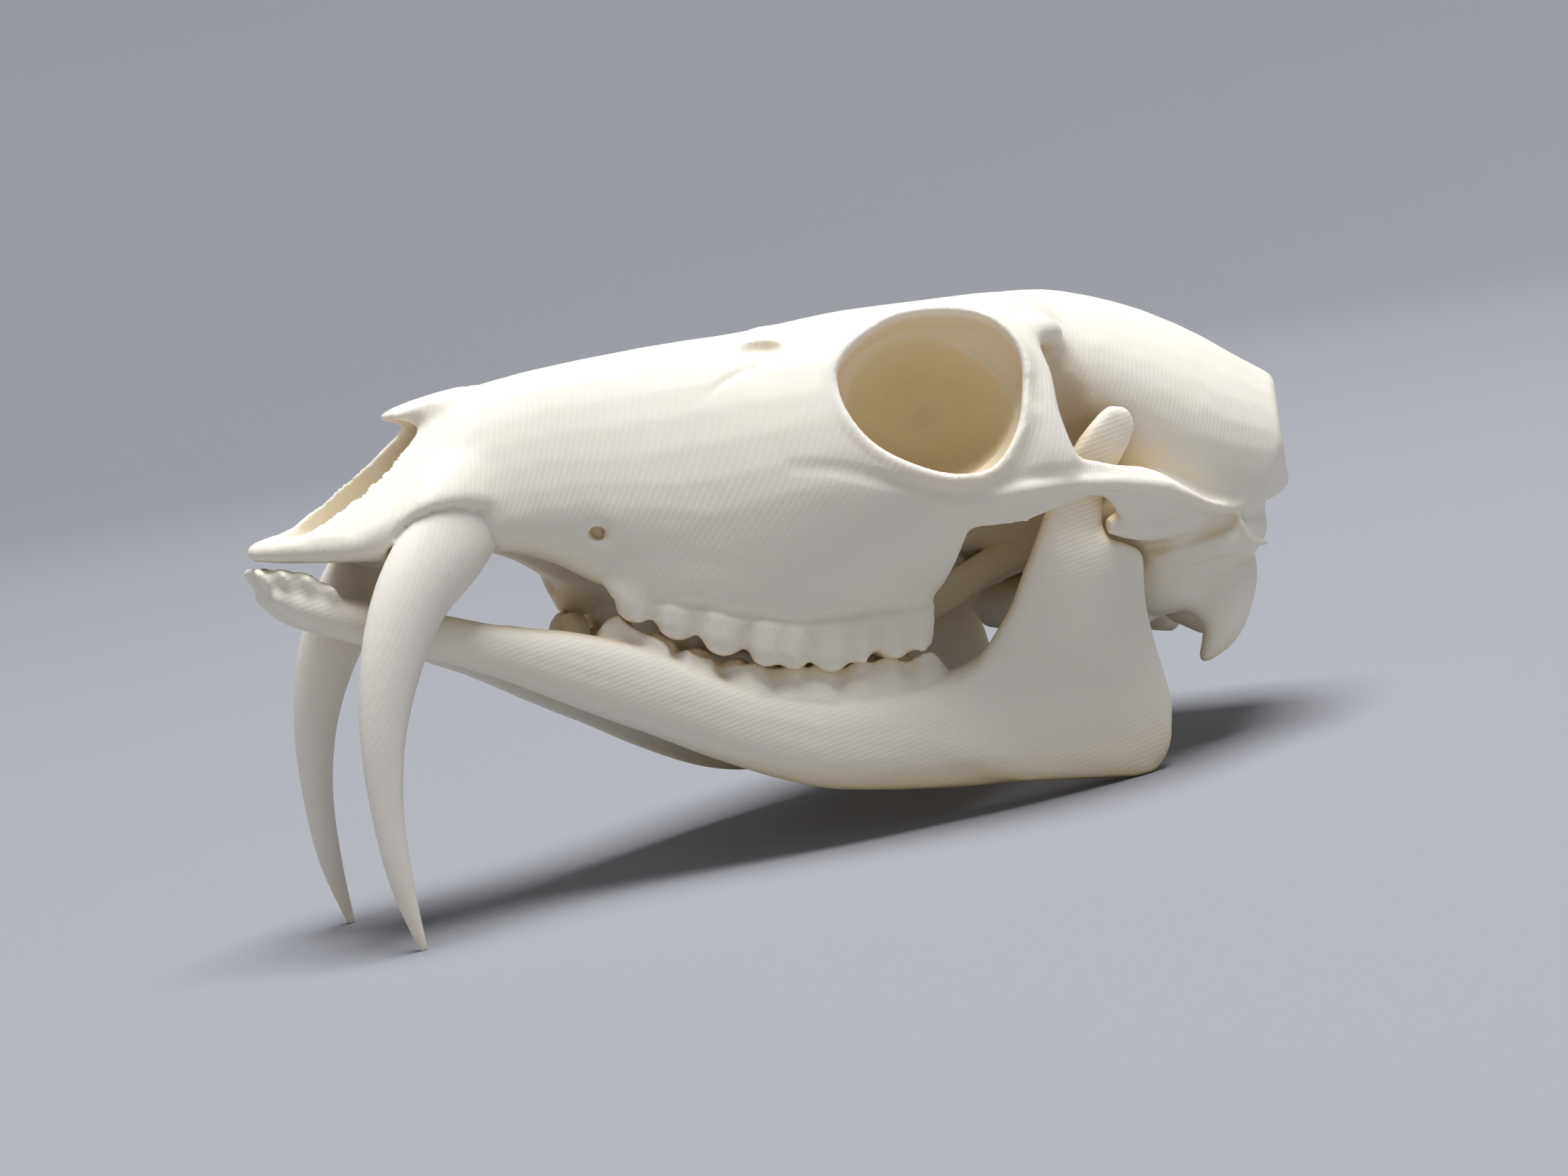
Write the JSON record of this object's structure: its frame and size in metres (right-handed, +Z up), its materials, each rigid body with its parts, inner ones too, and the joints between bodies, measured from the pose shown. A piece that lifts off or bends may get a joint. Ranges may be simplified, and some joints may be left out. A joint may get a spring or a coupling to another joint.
{
  "type": "skull",
  "caption": "Life-size model of an adult male musk deer skull with closed jaws and two long sabre-like upper tusks.",
  "frame": {"origin": "on the floor, under the middle of the skull's length, in the plane that divides left from right", "axes": "+X from the nose to the nape, +Y to the animal's right, +Z up, with the skull tipped nose-up onto tusk tips and jaw angles"},
  "size_m": [0.1514, 0.0694, 0.0663],
  "materials": {
    "printed_bone": "off-white printed nylon, matt, with faint layer lines",
    "printed_tusk": "off-white printed nylon, matt and slightly smoother"
  },
  "bodies": {
    "root": {"cranium": "printed_bone", "mandible_left": "printed_bone", "mandible_right": "printed_bone", "canine_left": "printed_tusk", "canine_right": "printed_tusk"}
  },
  "joints": []
}
